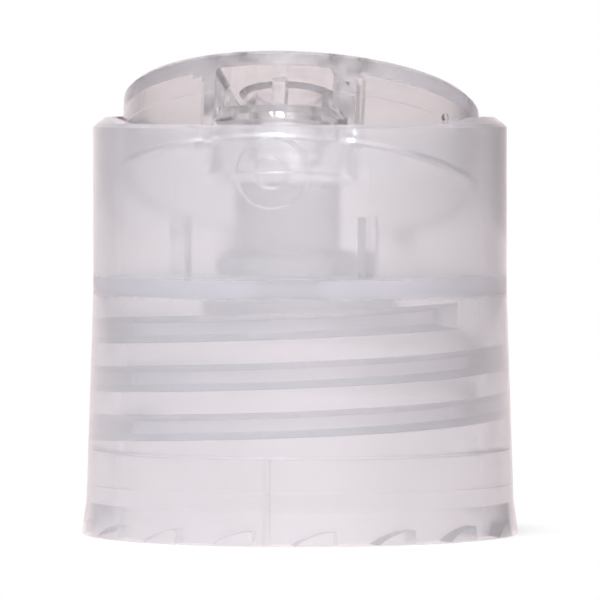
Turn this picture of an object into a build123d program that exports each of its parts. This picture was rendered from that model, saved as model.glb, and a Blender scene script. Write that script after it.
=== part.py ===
from build123d import *
import os
from math import cos, radians, sin, sqrt, tan

# Disc top cap, 24/410 neck finish, in natural polypropylene: a threaded cap body with a rocking disc.
# Millimetres, +Z up, origin at the middle of the foot on which the cap stands, spout towards -Y.
# The disc is drawn closed, its face level with the rim, then tilted about its pivots to the open pose.

# Threaded lower half of the body
thread_root_radius = 12.2
thread_depth = 1.1
thread_pitch = 3.175
thread_turns = 2.54
thread_start_above_entry = 0.96
thread_start_angle = 144.0
thread_root_width = 1.7
thread_crest_width = 0.8
thread_runout_radius = 3.0
entry_step = 0.35
entry_height = 5.6
chamber_height = 10.2
chamber_wall = 1.42
foot_wall = 1.83

# Ratchet notches round the inner foot edge
notch_count = 16
notch_angle = 19.0
notch_width = 2.7
notch_height = 0.87
notch_depth = 1.15

# Deck, recess and rim
deck_thickness = 1.15
recess_depth = 10.05
rim_wall = 1.17
rim_bevel = 0.25
skirt_taper = 0.46
skirt_taper_height = 16.0
foot_flare_height = 2.2

# Raised lips on the rim above the pivots
lip_height = 0.4
lip_crest_width = 0.35
lip_length = 10.0
lip_ramp = 3.0

# Front pad and the stops that the disc meets when it is shut and when it is open
front_pad_thickness = 0.15
front_pad_half_width = 6.2
front_pad_below_rim = 2.35
stop_x = 5.93
stop_width = 1.06
stop_gap = 0.15
front_stop_reach = 1.8

# Discharge tube on the deck, with the seal ring under it
spout_y = -5.1
tube_bore_radius = 2.95
tube_wall = 0.45
tube_height = 6.25
tube_lead_in = 0.2
boss_wall = 1.2
boss_height = 1.85
boss_bevel = 0.45
seal_outer_radius = 6.5
seal_wall = 0.8
seal_length = 2.4
seal_taper = 0.35
orifice_radius = 1.65
orifice_inset = 0.1

# Disc
open_angle = 18.0
pivot_y = 4.12
pivot_below_face = 1.5
disc_gap = 0.75
plate_thickness = 1.05
disc_skirt_height = 5.8
disc_skirt_wall = 0.8
disc_line_step = 0.05
disc_line_depth = 2.6
disc_edge_bevel = 0.25
disc_foot_bevel = 0.2
peg_radius = 0.75
peg_clearance = 0.07
peg_end_gap = 0.2
peg_seat_depth = 0.68

# Stub that the gate leaves on the disc's skirt, at the thin line
gate_radius = 0.24
gate_height = 0.2
gate_angle = -28.0

# Spout channel under the disc's face
window_half_width = 3.85
window_height = 2.65
window_round = 0.35
shelf_thickness = 0.8
channel_wall = 0.85
pillar_half_span = 5.4
pillar_depth = 1.2
socket_front_gap = 0.8
socket_side_gap = 0.2
socket_rear_gap = 1.25
socket_foot_gap = 0.45
socket_rear_lift = 2.25

# Hollow plug that shuts the tube, and the rib in front of it
plug_clearance = 0.05
plug_wall = 0.7
plug_entry = 1.6
plug_tip_inset = 0.65
plug_root_bevel = 0.35
rib_width = 0.85
rib_length = 1.3
rib_gap = 0.15

# Levels and radii that follow from the sizes above
deck_bottom = entry_height + chamber_height
deck_top = deck_bottom + deck_thickness
cap_height = deck_top + recess_depth
rim_radius = thread_root_radius + chamber_wall
recess_radius = rim_radius - rim_wall
entry_radius = thread_root_radius + entry_step
foot_radius = entry_radius + foot_wall
tube_radius = tube_bore_radius + tube_wall
tube_top = deck_top + tube_height
disc_radius = recess_radius - disc_gap
disc_foot_radius = disc_radius - disc_line_step
disc_inner_radius = disc_foot_radius - disc_skirt_wall
plate_bottom = cap_height - plate_thickness
disc_foot = cap_height - disc_skirt_height
window_sill = plate_bottom - window_height
pivot_z = cap_height - pivot_below_face
peg_end = sqrt(recess_radius**2 - pivot_y**2) + peg_seat_depth - peg_end_gap
embed = 0.2


def chord(radius, across):
    """Half the chord of a circle at the given distance from its middle."""
    return sqrt(radius**2 - across**2)


# Thread ridge on the inner wall, with its two ends run out into the wall
with BuildPart() as thread_ridge:
    with BuildLine() as thread_path:
        Helix(thread_pitch, thread_pitch * thread_turns, thread_root_radius)
    flank = (thread_root_width - thread_crest_width) / 2 / thread_depth
    section_plane = Plane(origin=thread_path.line @ 0, x_dir=(1, 0, 0), z_dir=thread_path.line % 0)
    with BuildSketch(section_plane):
        with BuildLine():
            Polyline(
                (-thread_depth, thread_crest_width / 2),
                (embed, thread_root_width / 2 + flank * embed),
                (embed, -thread_root_width / 2 - flank * embed),
                (-thread_depth, -thread_crest_width / 2),
                close=True,
            )
        make_face()
    sweep(path=thread_path.line, is_frenet=True)
    for turned in (0, 360 * thread_turns):
        end_angle = radians(turned)
        end_radius = thread_root_radius + embed - thread_runout_radius
        end_point = (
            end_radius * cos(end_angle),
            end_radius * sin(end_angle),
            thread_pitch * turned / 360,
        )
        with Locations(end_point):
            Cylinder(thread_runout_radius, thread_pitch, mode=Mode.SUBTRACT)


# One ratchet notch: a ramp that rises to a flat crown, then drops at a square face
with BuildPart() as notch:
    notch_arc_radius = (notch_width**2 + notch_height**2) / (2 * notch_height)
    notch_plane = Plane(
        origin=(0, -entry_radius - notch_depth, 0), x_dir=(1, 0, 0), z_dir=(0, 1, 0)
    )
    with BuildSketch(notch_plane):
        with BuildLine():
            # this plane's own y points down, so the notch is drawn below its axis
            crown = (0, -notch_height)
            mid_angle = 0.5 * radians(90) * notch_width / notch_arc_radius
            middle = (
                -notch_arc_radius * sin(mid_angle),
                -notch_height + notch_arc_radius * (1 - cos(mid_angle)),
            )
            ThreePointArc((-notch_width, 0), middle, crown)
            Polyline(crown, (0, embed), (-notch_width, embed), (-notch_width, 0))
        make_face()
    extrude(amount=2 * notch_depth)


# Raised lip along the rim, sloped outwards, with a ramp at each end
with BuildPart() as rim_lip:
    with BuildSketch(Plane.XZ):
        with BuildLine():
            Polyline(
                (recess_radius, cap_height - rim_bevel - embed),
                (recess_radius, cap_height + lip_height),
                (recess_radius + lip_crest_width, cap_height + lip_height),
                (rim_radius - rim_bevel, cap_height),
                (rim_radius - rim_bevel, cap_height - rim_bevel - embed),
                close=True,
            )
        make_face()
    revolve(axis=Axis.Z)
    with BuildSketch(Plane.YZ):
        with BuildLine():
            Polyline(
                (-lip_length / 2 - 2 * lip_ramp, cap_height - lip_height),
                (-lip_length / 2, cap_height + lip_height),
                (lip_length / 2, cap_height + lip_height),
                (lip_length / 2 + 2 * lip_ramp, cap_height - lip_height),
                close=True,
            )
        make_face()
    extrude(amount=2 * rim_radius, both=True, mode=Mode.INTERSECT)


with BuildPart() as cap_body:
    # Wall and deck in one section: flared foot, straight upper half, chamber below and recess above
    with BuildSketch(Plane.XZ) as wall_section:
        with BuildLine():
            Polyline(
                (foot_radius, 0),
                (rim_radius + skirt_taper, foot_flare_height),
                (rim_radius, skirt_taper_height),
                (rim_radius, cap_height),
                (recess_radius, cap_height),
                (recess_radius, deck_top),
                (0, deck_top),
                (0, deck_bottom),
                (thread_root_radius, deck_bottom),
                (thread_root_radius, entry_height),
                (entry_radius, entry_height),
                (entry_radius, 0),
                close=True,
            )
        make_face()
        chamfer(wall_section.vertices().sort_by_distance((rim_radius, cap_height))[0], rim_bevel)
    revolve(axis=Axis.Z)

    # Lips on the rim
    add(rim_lip.part)

    # Thicker wall at the front, between the stops
    with BuildSketch(Plane.XY.offset(deck_top - embed)):
        Circle(recess_radius + embed)
        Circle(recess_radius - front_pad_thickness, mode=Mode.SUBTRACT)
        with Locations((0, -rim_radius / 2)):
            Rectangle(2 * front_pad_half_width, rim_radius, mode=Mode.INTERSECT)
    extrude(amount=recess_depth + embed - front_pad_below_rim)

    # Front stops, under the disc's foot when it is shut
    front_stop_out = chord(recess_radius + embed, stop_x)
    front_stop_in = chord(recess_radius, stop_x) - front_stop_reach
    with BuildSketch(Plane.XY.offset(deck_top - embed)):
        with Locations((0, -(front_stop_out + front_stop_in) / 2)):
            with GridLocations(2 * stop_x, 1, 2, 1):
                Rectangle(stop_width, front_stop_out - front_stop_in)
    extrude(amount=disc_foot - stop_gap - deck_top + embed)

    # Rear stops, under the disc's foot when it is open; their tops lean with the open disc
    rear_foot_y = chord(disc_inner_radius, stop_x)
    foot_drop = pivot_z - disc_foot
    open_turn = radians(open_angle)
    rear_stop_in = (
        pivot_y + (rear_foot_y - pivot_y) * cos(open_turn) - foot_drop * sin(open_turn)
    )
    rear_stop_top = (
        pivot_z
        - (rear_foot_y - pivot_y) * sin(open_turn)
        - foot_drop * cos(open_turn)
        - stop_gap / cos(open_turn)
    )
    rear_stop_out = chord(recess_radius + embed, stop_x)
    rear_stop_fall = (rear_stop_out - rear_stop_in) * tan(open_turn)
    for stop_side in (-stop_x, stop_x):
        with BuildSketch(Plane.YZ.offset(stop_side - stop_width / 2)):
            with BuildLine():
                Polyline(
                    (rear_stop_in, deck_top - embed),
                    (rear_stop_in, rear_stop_top),
                    (rear_stop_out, rear_stop_top - rear_stop_fall),
                    (rear_stop_out, deck_top - embed),
                    close=True,
                )
            make_face()
        extrude(amount=stop_width)

    # Discharge tube on its boss, with a flared mouth for the plug
    with BuildSketch(Plane.XY.offset(deck_top - embed)):
        with Locations((0, spout_y)):
            Circle(tube_radius + boss_wall)
    extrude(amount=boss_height + embed)
    boss_top_edge = cap_body.edges().filter_by(GeomType.CIRCLE).sort_by_distance(
        (tube_radius + boss_wall, spout_y, deck_top + boss_height)
    )[0]
    chamfer(boss_top_edge, boss_bevel)
    with BuildSketch(Plane.XY.offset(deck_top)):
        with Locations((0, spout_y)):
            Circle(tube_radius)
    extrude(amount=tube_height)
    with Locations((0, spout_y, deck_top)):
        Cylinder(
            tube_bore_radius,
            tube_height,
            align=(Align.CENTER, Align.CENTER, Align.MIN),
            mode=Mode.SUBTRACT,
        )
    tube_mouth = cap_body.edges().filter_by(GeomType.CIRCLE).sort_by_distance(
        (tube_bore_radius, spout_y, tube_top)
    )[0]
    chamfer(tube_mouth, tube_lead_in)

    # Tapered seal ring that plugs the neck of the bottle
    with BuildSketch(Plane.XZ):
        with BuildLine():
            Polyline(
                (seal_outer_radius - seal_wall, deck_bottom + embed),
                (seal_outer_radius, deck_bottom + embed),
                (seal_outer_radius, deck_bottom - seal_length / 2),
                (seal_outer_radius - seal_taper, deck_bottom - seal_length),
                (seal_outer_radius - seal_wall, deck_bottom - seal_length),
                close=True,
            )
        make_face()
    revolve(axis=Axis.Z)

    # Orifice through the deck, inside the seal ring and under the tube
    orifice_y = -(seal_outer_radius - seal_wall - orifice_inset - orifice_radius)
    with Locations((0, orifice_y, deck_bottom - embed)):
        Cylinder(
            orifice_radius,
            deck_thickness + 2 * embed,
            align=(Align.CENTER, Align.CENTER, Align.MIN),
            mode=Mode.SUBTRACT,
        )

    # Thread ridge
    with Locations(Location((0, 0, entry_height + thread_start_above_entry), (0, 0, thread_start_angle))):
        add(thread_ridge.part)

    # Ratchet notches
    with PolarLocations(0, notch_count, start_angle=notch_angle):
        add(notch.part, mode=Mode.SUBTRACT)

    # Blind pivot holes
    with BuildSketch(Plane.YZ.offset(peg_end + peg_end_gap)):
        with Locations((pivot_y, pivot_z)):
            Circle(peg_radius + peg_clearance)
    extrude(amount=-2 * (peg_end + peg_end_gap), mode=Mode.SUBTRACT)


def socket_plan(wall):
    """Plan of the socket round the tube, grown by a wall: a wide bow in front, a narrower one behind."""
    with BuildSketch() as plan:
        with Locations((0, spout_y)):
            Circle(socket_radius + wall)
        with Locations((0, socket_step_y)):
            Rectangle(
                4 * socket_radius,
                4 * socket_radius,
                align=(Align.CENTER, Align.MIN),
                mode=Mode.SUBTRACT,
            )
            Rectangle(
                2 * (socket_half_width + wall),
                rear_bow_y - socket_step_y,
                align=(Align.CENTER, Align.MIN),
            )
        with Locations((0, rear_bow_y)):
            Circle(socket_half_width + wall)
    return plan.sketch


socket_radius = tube_radius + socket_front_gap
socket_half_width = tube_radius + socket_side_gap
socket_step_y = spout_y - chord(socket_radius, window_half_width)
rear_bow_y = spout_y + tube_radius + socket_rear_gap - socket_half_width
socket_foot = deck_top + boss_height + socket_foot_gap
socket_front_y = spout_y - socket_radius - channel_wall
socket_rear_y = rear_bow_y + socket_half_width + channel_wall

with BuildPart() as shut_disc:
    # Face plate and skirt, with the thin line round the skirt
    with BuildSketch(Plane.XZ) as shell_section:
        with BuildLine():
            Polyline(
                (0, cap_height),
                (disc_radius, cap_height),
                (disc_radius, cap_height - disc_line_depth),
                (disc_foot_radius, cap_height - disc_line_depth),
                (disc_foot_radius, disc_foot),
                (disc_inner_radius, disc_foot),
                (disc_inner_radius, plate_bottom),
                (0, plate_bottom),
                close=True,
            )
        make_face()
        chamfer(shell_section.vertices().sort_by_distance((disc_radius, cap_height))[0], disc_edge_bevel)
        chamfer(
            shell_section.vertices().sort_by_distance((disc_foot_radius, disc_foot))[0],
            disc_foot_bevel,
        )
    revolve(axis=Axis.Z)

    # Gate stub on the skirt
    gate_side = Vector(cos(radians(gate_angle)), sin(radians(gate_angle)), 0)
    gate_root = gate_side * (disc_inner_radius + embed) + Vector(0, 0, cap_height - disc_line_depth)
    with BuildSketch(Plane(origin=gate_root, z_dir=gate_side)):
        Circle(gate_radius)
    extrude(amount=disc_radius + gate_height - disc_inner_radius - embed)

    # Socket that hoods the tube, its foot rising towards the rear
    with BuildSketch(Plane.XY.offset(socket_foot)):
        add(socket_plan(channel_wall))
    extrude(amount=plate_bottom + embed - socket_foot)
    with BuildSketch(Plane.YZ):
        with BuildLine():
            Polyline(
                (socket_front_y - embed, socket_foot),
                (socket_rear_y + embed, socket_foot + socket_rear_lift),
                (socket_rear_y + embed, socket_foot - embed),
                (socket_front_y - embed, socket_foot - embed),
                close=True,
            )
        make_face()
    extrude(amount=2 * socket_radius, both=True, mode=Mode.SUBTRACT)

    # Channel block from the socket to the skirt, with the pillars beside the window
    skirt_mid_y = -disc_foot_radius + disc_skirt_wall / 2
    channel_floor = window_sill - shelf_thickness
    with BuildSketch(Plane.XY.offset(channel_floor)):
        with Locations((0, skirt_mid_y)):
            Rectangle(
                2 * (window_half_width + channel_wall),
                socket_step_y - skirt_mid_y,
                align=(Align.CENTER, Align.MIN),
            )
        Circle(disc_foot_radius - disc_skirt_wall / 2, mode=Mode.INTERSECT)
    extrude(amount=plate_bottom + embed - channel_floor)
    pillar_foot = disc_foot + disc_foot_bevel
    with BuildSketch(Plane.XY.offset(pillar_foot)):
        Circle(disc_foot_radius - disc_skirt_wall / 2)
        Circle(disc_inner_radius - pillar_depth, mode=Mode.SUBTRACT)
        with Locations((0, -disc_radius)):
            Rectangle(2 * pillar_half_span, disc_radius, mode=Mode.INTERSECT)
            Rectangle(2 * window_half_width, disc_radius, mode=Mode.SUBTRACT)
    extrude(amount=plate_bottom + embed - pillar_foot)

    # Way through: the socket's bore, then the channel out of the window
    with BuildSketch(Plane.XY.offset(plate_bottom)):
        add(socket_plan(0))
    extrude(amount=socket_foot - plate_bottom - embed, mode=Mode.SUBTRACT)
    with BuildSketch(Plane.XZ.offset(-socket_step_y)) as window:
        with Locations((0, (plate_bottom + window_sill) / 2)):
            Rectangle(2 * window_half_width, window_height)
        fillet(window.vertices(), window_round)
    extrude(amount=disc_radius, mode=Mode.SUBTRACT)

    # Hollow plug for the tube, tapered so that it clears the tube as the disc rocks
    plug_radius = tube_bore_radius - plug_clearance
    plug_tip = tube_top - plug_entry
    with BuildSketch(Plane((0, spout_y, 0), x_dir=(1, 0, 0), z_dir=(0, -1, 0))):
        with BuildLine():
            Polyline(
                (plug_radius + plug_root_bevel, plate_bottom),
                (plug_radius + plug_root_bevel, plate_bottom + embed),
                (plug_radius - plug_wall, plate_bottom + embed),
                (plug_radius - plug_wall, tube_top),
                (plug_radius - plug_tip_inset - plug_wall / 2, plug_tip),
                (plug_radius - plug_tip_inset, plug_tip),
                (plug_radius, tube_top),
                (plug_radius, plate_bottom - plug_root_bevel),
                close=True,
            )
        make_face()
    revolve(axis=Axis((0, spout_y, 0), (0, 0, 1)))

    # Rib in front of the plug
    with Locations((0, spout_y - plug_radius + embed, tube_top + rib_gap)):
        Box(
            rib_width,
            rib_length + embed,
            plate_bottom + embed - tube_top - rib_gap,
            align=(Align.CENTER, Align.MAX, Align.MIN),
        )

    # Pivot pegs
    peg_root = (
        chord(disc_inner_radius, pivot_y - peg_radius) + chord(disc_radius, pivot_y + peg_radius)
    ) / 2
    with BuildSketch(Plane.YZ.offset(peg_root)):
        with Locations((pivot_y, pivot_z)):
            Circle(peg_radius)
    extrude(amount=peg_end - peg_root)
    with BuildSketch(Plane.YZ.offset(-peg_root)):
        with Locations((pivot_y, pivot_z)):
            Circle(peg_radius)
    extrude(amount=peg_root - peg_end)


# Open pose: front of the disc up, rear pressed down
open_tilt = Location((0, pivot_y, pivot_z), (-open_angle, 0, 0)) * Location((0, -pivot_y, -pivot_z))
with BuildPart() as disc:
    with Locations(open_tilt):
        add(shut_disc.part)

cap_body.part.label = "cap_body"
disc.part.label = "disc"
os.makedirs("parts", exist_ok=True)
export_step(cap_body.part, "parts/cap_body.step")
export_step(disc.part, "parts/disc.step")
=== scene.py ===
import math

import bmesh
import bpy
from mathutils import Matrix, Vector

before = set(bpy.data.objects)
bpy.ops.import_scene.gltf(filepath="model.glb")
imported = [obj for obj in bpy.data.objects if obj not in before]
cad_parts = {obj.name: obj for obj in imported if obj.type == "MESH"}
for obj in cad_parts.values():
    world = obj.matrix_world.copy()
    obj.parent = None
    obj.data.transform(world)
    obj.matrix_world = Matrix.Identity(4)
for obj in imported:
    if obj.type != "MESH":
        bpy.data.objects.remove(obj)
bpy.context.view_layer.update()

# View: the photograph was taken from about half a metre, level with the top of the open disc and a
# little to the right of the spout, with a long lens. It frames the cap with a small margin.
MM = 0.001
PHOTO_SIZE = 600
PIXELS_PER_MM = 15.18
EYE_DISTANCE = 460 * MM
EYE_HEIGHT = 30.8 * MM
EYE_TURN = math.radians(9.14)
AIM_HEIGHT = 15.34 * MM
SENSOR_WIDTH = 36.0

camera_data = bpy.data.cameras.new("photo_camera")
camera_data.sensor_width = SENSOR_WIDTH
camera_data.lens = PIXELS_PER_MM * EYE_DISTANCE / MM / PHOTO_SIZE * SENSOR_WIDTH
camera = bpy.data.objects.new("photo_camera", camera_data)
bpy.context.scene.collection.objects.link(camera)
camera.location = (
    EYE_DISTANCE * math.sin(EYE_TURN),
    -EYE_DISTANCE * math.cos(EYE_TURN),
    EYE_HEIGHT,
)
aim = Vector((0, 0, AIM_HEIGHT)) - camera.location
camera.rotation_euler = aim.to_track_quat("-Z", "Y").to_euler()
bpy.context.scene.camera = camera
bpy.context.scene.view_settings.view_transform = "Standard"

# Studio: a white table under a white sweep that runs from behind the cap over it to the front, with
# dimmer sides so that the cap's edges show, and one soft lamp above the front left. The sweep's light is
# a little pink and the lamp's a little blue. The camera sees the surround as plain white.
DIM_SIDE = (0.96, 0.28, 0.0)
SWEEP_EDGE = (0.2, 0.7)
SWEEP_LEVEL = 1.0
SIDE_LEVEL = 0.16
LIGHT_TINT = "#fff2f4"
LAMP_SIZE = 250 * MM
LAMP_POWER = 2.2
LAMP_TINT = "#ecf3ff"
LAMP_PLACE = Vector((-80, -300, 420)) * MM
LAMP_AIM = Vector((0, 0, 15)) * MM
TABLE_SIZE = 1600 * MM
TABLE_SHADOW = 0.4
SHADOW_NEAR = 14 * MM
SHADOW_FAR = 18 * MM
PATH_LENGTH = 32

# light crosses many walls of clear plastic, so its path may be long
cycles = bpy.context.scene.cycles
cycles.max_bounces = PATH_LENGTH
cycles.transmission_bounces = PATH_LENGTH
cycles.glossy_bounces = PATH_LENGTH
cycles.diffuse_bounces = PATH_LENGTH


def add_node(tree, kind, settings=None, links=None):
    """Adds a node to a tree, sets its sockets or attributes, and links other nodes' outputs to it."""
    node = tree.nodes.new(kind)
    for name, value in (settings or {}).items():
        if isinstance(name, int) or name in node.inputs:
            node.inputs[name].default_value = value
        else:
            setattr(node, name, value)
    for name, source in (links or {}).items():
        tree.links.new(source, node.inputs[name])
    return node


def srgb(text, alpha=1.0):
    """An sRGB hex colour as the linear colour that a shader takes."""
    parts = [int(text[i : i + 2], 16) / 255 for i in (1, 3, 5)]
    linear = [p / 12.92 if p <= 0.04045 else ((p + 0.055) / 1.055) ** 2.4 for p in parts]
    return (*linear, alpha)


world = bpy.data.worlds.new("white_studio")
bpy.context.scene.world = world
world.use_nodes = True
tree = world.node_tree
tree.nodes.clear()
seen = add_node(tree, "ShaderNodeLightPath")
heading = add_node(tree, "ShaderNodeTexCoord")
towards = add_node(
    tree,
    "ShaderNodeVectorMath",
    {"operation": "DOT_PRODUCT", 1: DIM_SIDE},
    {0: heading.outputs["Generated"]},
)
off_sweep = add_node(
    tree, "ShaderNodeMath", {"operation": "ABSOLUTE"}, {0: towards.outputs["Value"]}
)
soft_light = add_node(
    tree,
    "ShaderNodeMapRange",
    {
        "From Min": SWEEP_EDGE[0],
        "From Max": SWEEP_EDGE[1],
        "To Min": SWEEP_LEVEL,
        "To Max": SIDE_LEVEL,
    },
    {"Value": off_sweep.outputs[0]},
)
level = add_node(
    tree,
    "ShaderNodeMath",
    {"operation": "MAXIMUM"},
    {0: soft_light.outputs[0], 1: seen.outputs["Is Camera Ray"]},
)
light_colour = add_node(
    tree,
    "ShaderNodeMixRGB",
    {"Color1": srgb(LIGHT_TINT), "Color2": srgb("#ffffff")},
    {"Fac": seen.outputs["Is Camera Ray"]},
)
sky = add_node(
    tree,
    "ShaderNodeBackground",
    None,
    {"Color": light_colour.outputs[0], "Strength": level.outputs[0]},
)
add_node(tree, "ShaderNodeOutputWorld", None, {"Surface": sky.outputs[0]})

lamp_data = bpy.data.lights.new("soft_lamp", "AREA")
lamp_data.size = LAMP_SIZE
lamp_data.energy = LAMP_POWER
lamp_data.color = srgb(LAMP_TINT)[:3]
lamp = bpy.data.objects.new("soft_lamp", lamp_data)
bpy.context.scene.collection.objects.link(lamp)
lamp.location = LAMP_PLACE
lamp.rotation_euler = (LAMP_AIM - LAMP_PLACE).to_track_quat("-Z", "Y").to_euler()

table = bmesh.new()
bmesh.ops.create_grid(table, x_segments=1, y_segments=1, size=TABLE_SIZE / 2)
table_mesh = bpy.data.meshes.new("table")
table.to_mesh(table_mesh)
table.free()
table_top = bpy.data.objects.new("table", table_mesh)
bpy.context.scene.collection.objects.link(table_top)

# Matt white laminate: the eye sees plain white, with the cap's soft shadow close round its foot.
laminate = bpy.data.materials.new("matt_white_laminate")
laminate.use_nodes = True
tree = laminate.node_tree
tree.nodes.clear()
path = add_node(tree, "ShaderNodeLightPath")
shaded = add_node(tree, "ShaderNodeBsdfDiffuse", {"Color": srgb("#ffffff")})
bright_colour = add_node(
    tree,
    "ShaderNodeMixRGB",
    {"Color1": srgb(LIGHT_TINT), "Color2": srgb("#ffffff")},
    {"Fac": path.outputs["Is Camera Ray"]},
)
bright = add_node(
    tree, "ShaderNodeEmission", {"Strength": 1.0}, {"Color": bright_colour.outputs[0]}
)
seen_or_mirrored = add_node(
    tree,
    "ShaderNodeMath",
    {"operation": "MAXIMUM"},
    {0: path.outputs["Is Camera Ray"], 1: path.outputs["Is Glossy Ray"]},
)
background_ray = add_node(
    tree,
    "ShaderNodeMath",
    {"operation": "MAXIMUM"},
    {0: seen_or_mirrored.outputs[0], 1: path.outputs["Is Transmission Ray"]},
)
table_place = add_node(tree, "ShaderNodeTexCoord")
from_cap = add_node(
    tree, "ShaderNodeVectorMath", {"operation": "LENGTH"}, {0: table_place.outputs["Object"]}
)
white_share = add_node(
    tree,
    "ShaderNodeMapRange",
    {
        "From Min": SHADOW_NEAR,
        "From Max": SHADOW_FAR,
        "To Min": 1 - TABLE_SHADOW,
        "To Max": 1.0,
    },
    {"Value": from_cap.outputs["Value"]},
)
bright_share = add_node(
    tree,
    "ShaderNodeMath",
    {"operation": "MULTIPLY"},
    {0: background_ray.outputs[0], 1: white_share.outputs[0]},
)
table_look = add_node(
    tree,
    "ShaderNodeMixShader",
    None,
    {0: bright_share.outputs[0], 1: shaded.outputs[0], 2: bright.outputs[0]},
)
add_node(tree, "ShaderNodeOutputMaterial", None, {"Surface": table_look.outputs[0]})
table_mesh.materials.append(laminate)

# Cap body: the lower piece, which screws onto the bottle's neck. It is one injection moulding in natural
# polypropylene, with no pigment. The steel core that forms its thread and the underside of its deck is
# rougher than the polished cavity that forms its outside.
RESIN_TINT = "#5c86e0"
RESIN_INDEX = 1.49
BODY_ROUGHNESS = (0.15, 0.20)
BODY_CLARITY = 0.77
BODY_SKIN = 0.4
SKIN_ROUGHNESS = 0.05
BODY_ABSORPTION_PER_MM = 0.011
MOTTLE_SIZE = 3.0 * MM
MOTTLE_SPAN = (0.3, 0.7)
GRAIN_SIZE = 0.35 * MM
GRAIN_DEPTH = 0.004 * MM
CORE_RADIUS = 12.13 * MM
CORE_TOP = 17.1 * MM
DECK_MIDDLE = 16.4 * MM
DECK_HALF = 1.0 * MM
DECK_HAZE_SHARE = 0.45
CORE_ROUGHER = 0.3
CORE_CLARITY = 0.5
MARK_DEPTH = 0.06 * MM
ENTRY_HEIGHT = 5.6 * MM
WELD_X = 0.1 * MM
WELD_WIDTH = 0.3 * MM
WELD_SHARE = 1.6
ENTRY_SHARE = 0.4
FAINT_LINE_HEIGHT = 3.3 * MM
FAINT_SHARE = 0.12
LINE_WIDTH = 0.1 * MM
GATE_MARK = (0.3 * MM, 0.0, 23.9 * MM)
GATE_RINGS = (1.0 * MM, 2.3 * MM)
GATE_SHARE = 0.6


def polypropylene(name, roughness, clarity, absorption_per_mm):
    """Natural polypropylene: hazy clear resin, with a satin surface that is a little uneven."""
    plastic = bpy.data.materials.new(name)
    plastic.use_nodes = True
    tree = plastic.node_tree
    tree.nodes.clear()
    place = add_node(tree, "ShaderNodeTexCoord", {"name": "place"})
    mottle = add_node(
        tree,
        "ShaderNodeTexNoise",
        {"Scale": 1 / MOTTLE_SIZE, "Detail": 2.0},
        {"Vector": place.outputs["Object"]},
    )
    satin = add_node(
        tree,
        "ShaderNodeMapRange",
        {
            "name": "satin",
            "From Min": MOTTLE_SPAN[0],
            "From Max": MOTTLE_SPAN[1],
            "To Min": roughness[0],
            "To Max": roughness[1],
        },
        {"Value": mottle.outputs["Fac"]},
    )
    grain = add_node(
        tree,
        "ShaderNodeTexNoise",
        {"Scale": 1 / GRAIN_SIZE, "Detail": 1.0},
        {"Vector": place.outputs["Object"]},
    )
    bumps = add_node(
        tree,
        "ShaderNodeBump",
        {"name": "bumps", "Distance": GRAIN_DEPTH},
        {"Height": grain.outputs["Fac"]},
    )
    surface = add_node(
        tree,
        "ShaderNodeBsdfPrincipled",
        {
            "name": "surface",
            "Base Color": srgb("#ffffff"),
            "IOR": RESIN_INDEX,
            "Transmission Weight": clarity,
        },
        {"Roughness": satin.outputs[0], "Normal": bumps.outputs["Normal"]},
    )
    inside = add_node(
        tree,
        "ShaderNodeVolumeAbsorption",
        {"Color": srgb(RESIN_TINT), "Density": absorption_per_mm / MM},
    )
    add_node(
        tree,
        "ShaderNodeOutputMaterial",
        None,
        {"Surface": surface.outputs[0], "Volume": inside.outputs[0]},
    )
    return plastic


def line_mark(tree, value, at, width):
    """A soft ridge one unit high where a value passes a level, such as a height or a distance."""
    past = add_node(tree, "ShaderNodeMath", {"operation": "SUBTRACT", 1: at}, {0: value})
    away = add_node(tree, "ShaderNodeMath", {"operation": "ABSOLUTE"}, {0: past.outputs[0]})
    ridge = add_node(
        tree,
        "ShaderNodeMapRange",
        {
            "interpolation_type": "SMOOTHSTEP",
            "From Min": 0.0,
            "From Max": width,
            "To Min": 1.0,
            "To Max": 0.0,
        },
        {"Value": away.outputs[0]},
    )
    return ridge.outputs[0]


# Satin moulded polypropylene: a wall lets most light through with a milky haze, and a long way through
# it turns a cool grey. The outside has a thin gloss that shows along the outline.
cap_plastic = polypropylene(
    "polypropylene_satin_moulded", BODY_ROUGHNESS, BODY_CLARITY, BODY_ABSORPTION_PER_MM
)
tree = cap_plastic.node_tree
place = tree.nodes["place"]
xyz = add_node(tree, "ShaderNodeSeparateXYZ", None, {0: place.outputs["Object"]})

# where the core touched the plastic: inside the thread's root and under the deck's top, and in the deck
off_axis = add_node(
    tree,
    "ShaderNodeVectorMath",
    {"operation": "MULTIPLY", 1: (1.0, 1.0, 0.0)},
    {0: place.outputs["Object"]},
)
radius = add_node(tree, "ShaderNodeVectorMath", {"operation": "LENGTH"}, {0: off_axis.outputs[0]})
inside_root = add_node(
    tree, "ShaderNodeMath", {"operation": "LESS_THAN", 1: CORE_RADIUS}, {0: radius.outputs["Value"]}
)
under_deck = add_node(
    tree, "ShaderNodeMath", {"operation": "LESS_THAN", 1: CORE_TOP}, {0: xyz.outputs["Z"]}
)
on_core = add_node(
    tree,
    "ShaderNodeMath",
    {"operation": "MULTIPLY"},
    {0: inside_root.outputs[0], 1: under_deck.outputs[0]},
)
at_deck = line_mark(tree, xyz.outputs["Z"], DECK_MIDDLE, DECK_HALF)
rough_zone = add_node(
    tree,
    "ShaderNodeMath",
    {"operation": "MAXIMUM"},
    {0: on_core.outputs[0], 1: at_deck},
)
core_satin = add_node(
    tree,
    "ShaderNodeMath",
    {"operation": "MULTIPLY_ADD", 1: CORE_ROUGHER},
    {0: rough_zone.outputs[0], 2: tree.nodes["satin"].outputs[0]},
)
deck_haze = add_node(
    tree, "ShaderNodeMath", {"operation": "MULTIPLY", 1: DECK_HAZE_SHARE}, {0: at_deck}
)
haze = add_node(
    tree,
    "ShaderNodeMath",
    {"operation": "MAXIMUM"},
    {0: on_core.outputs[0], 1: deck_haze.outputs[0]},
)
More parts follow.
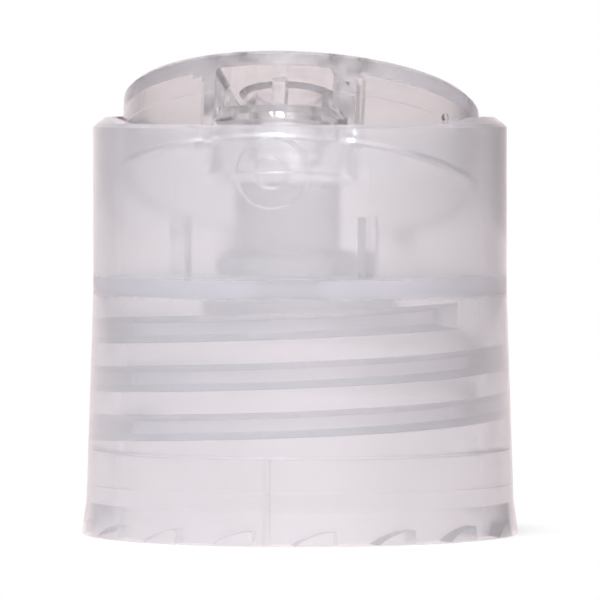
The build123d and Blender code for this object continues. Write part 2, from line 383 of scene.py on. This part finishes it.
core_clear = add_node(
    tree,
    "ShaderNodeMapRange",
    {"To Min": BODY_CLARITY, "To Max": CORE_CLARITY},
    {"Value": haze.outputs[0]},
)
tree.links.new(core_satin.outputs[0], tree.nodes["surface"].inputs["Roughness"])
tree.links.new(core_clear.outputs[0], tree.nodes["surface"].inputs["Transmission Weight"])
tree.nodes["surface"].inputs["Coat Weight"].default_value = BODY_SKIN
tree.nodes["surface"].inputs["Coat Roughness"].default_value = SKIN_ROUGHNESS

# shallow marks that the mould left on the front: the weld line, the line at the entry, the rings
# opposite the gate; and a fainter line all round the foot
at_front = add_node(
    tree, "ShaderNodeMath", {"operation": "LESS_THAN", 1: 0.0}, {0: xyz.outputs["Y"]}
)
below_entry = add_node(
    tree, "ShaderNodeMath", {"operation": "LESS_THAN", 1: ENTRY_HEIGHT}, {0: xyz.outputs["Z"]}
)
weld_plane = line_mark(tree, xyz.outputs["X"], WELD_X, WELD_WIDTH)
weld_line = add_node(
    tree, "ShaderNodeMath", {"operation": "MULTIPLY"}, {0: weld_plane, 1: below_entry.outputs[0]}
)
entry_line = line_mark(tree, xyz.outputs["Z"], ENTRY_HEIGHT, LINE_WIDTH)
from_gate = add_node(
    tree, "ShaderNodeVectorMath", {"operation": "SUBTRACT", 1: GATE_MARK}, {0: place.outputs["Object"]}
)
gate_flat = add_node(
    tree,
    "ShaderNodeVectorMath",
    {"operation": "MULTIPLY", 1: (1.0, 0.0, 1.0)},
    {0: from_gate.outputs[0]},
)
gate_distance = add_node(
    tree, "ShaderNodeVectorMath", {"operation": "LENGTH"}, {0: gate_flat.outputs[0]}
)
marks = add_node(
    tree, "ShaderNodeMath", {"operation": "MULTIPLY", 1: WELD_SHARE}, {0: weld_line.outputs[0]}
)
marks = add_node(
    tree,
    "ShaderNodeMath",
    {"operation": "MULTIPLY_ADD", 1: ENTRY_SHARE},
    {0: entry_line, 2: marks.outputs[0]},
)
for ring_radius in GATE_RINGS:
    gate_ring = line_mark(tree, gate_distance.outputs["Value"], ring_radius, LINE_WIDTH)
    marks = add_node(
        tree,
        "ShaderNodeMath",
        {"operation": "MULTIPLY_ADD", 1: GATE_SHARE},
        {0: gate_ring, 2: marks.outputs[0]},
    )
front_marks = add_node(
    tree,
    "ShaderNodeMath",
    {"operation": "MULTIPLY"},
    {0: marks.outputs[0], 1: at_front.outputs[0]},
)
faint_line = line_mark(tree, xyz.outputs["Z"], FAINT_LINE_HEIGHT, LINE_WIDTH)
all_marks = add_node(
    tree,
    "ShaderNodeMath",
    {"operation": "MULTIPLY_ADD", 1: FAINT_SHARE},
    {0: faint_line, 2: front_marks.outputs[0]},
)
mark_bumps = add_node(
    tree,
    "ShaderNodeBump",
    {"Distance": MARK_DEPTH},
    {"Height": all_marks.outputs[0], "Normal": tree.nodes["bumps"].outputs["Normal"]},
)
tree.links.new(mark_bumps.outputs["Normal"], tree.nodes["surface"].inputs["Normal"])

cap_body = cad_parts["cap_body"]
cap_body.data.materials.clear()
cap_body.data.materials.append(cap_plastic)

# Disc: the second injection moulding, of the same resin. Its two pegs snap into the blind holes in the
# body's wall, and it rocks about them. It is drawn open, its front up.
DISC_ROUGHNESS = (0.11, 0.15)
DISC_CLARITY = 0.975
DISC_ABSORPTION_PER_MM = 0.001
DISC_TILT = math.radians(18)
FACE_NORMAL = (0.0, math.sin(DISC_TILT), math.cos(DISC_TILT))
FACE_LEVEL = 26.1 * MM
FACE_ROUGHER = 0.04

# Polished moulded polypropylene: clearer than the body, because its mould is polished finer and its
# walls are thinner. The face that a finger presses is a little duller.
disc_plastic = polypropylene(
    "polypropylene_polished_moulded", DISC_ROUGHNESS, DISC_CLARITY, DISC_ABSORPTION_PER_MM
)
tree = disc_plastic.node_tree
up_from_middle = add_node(
    tree,
    "ShaderNodeVectorMath",
    {"operation": "DOT_PRODUCT", 1: FACE_NORMAL},
    {0: tree.nodes["place"].outputs["Object"]},
)
on_face = add_node(
    tree,
    "ShaderNodeMath",
    {"operation": "GREATER_THAN", 1: FACE_LEVEL},
    {0: up_from_middle.outputs["Value"]},
)
face_satin = add_node(
    tree,
    "ShaderNodeMath",
    {"operation": "MULTIPLY_ADD", 1: FACE_ROUGHER},
    {0: on_face.outputs[0], 2: tree.nodes["satin"].outputs[0]},
)
tree.links.new(face_satin.outputs[0], tree.nodes["surface"].inputs["Roughness"])

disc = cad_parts["disc"]
disc.data.materials.clear()
disc.data.materials.append(disc_plastic)
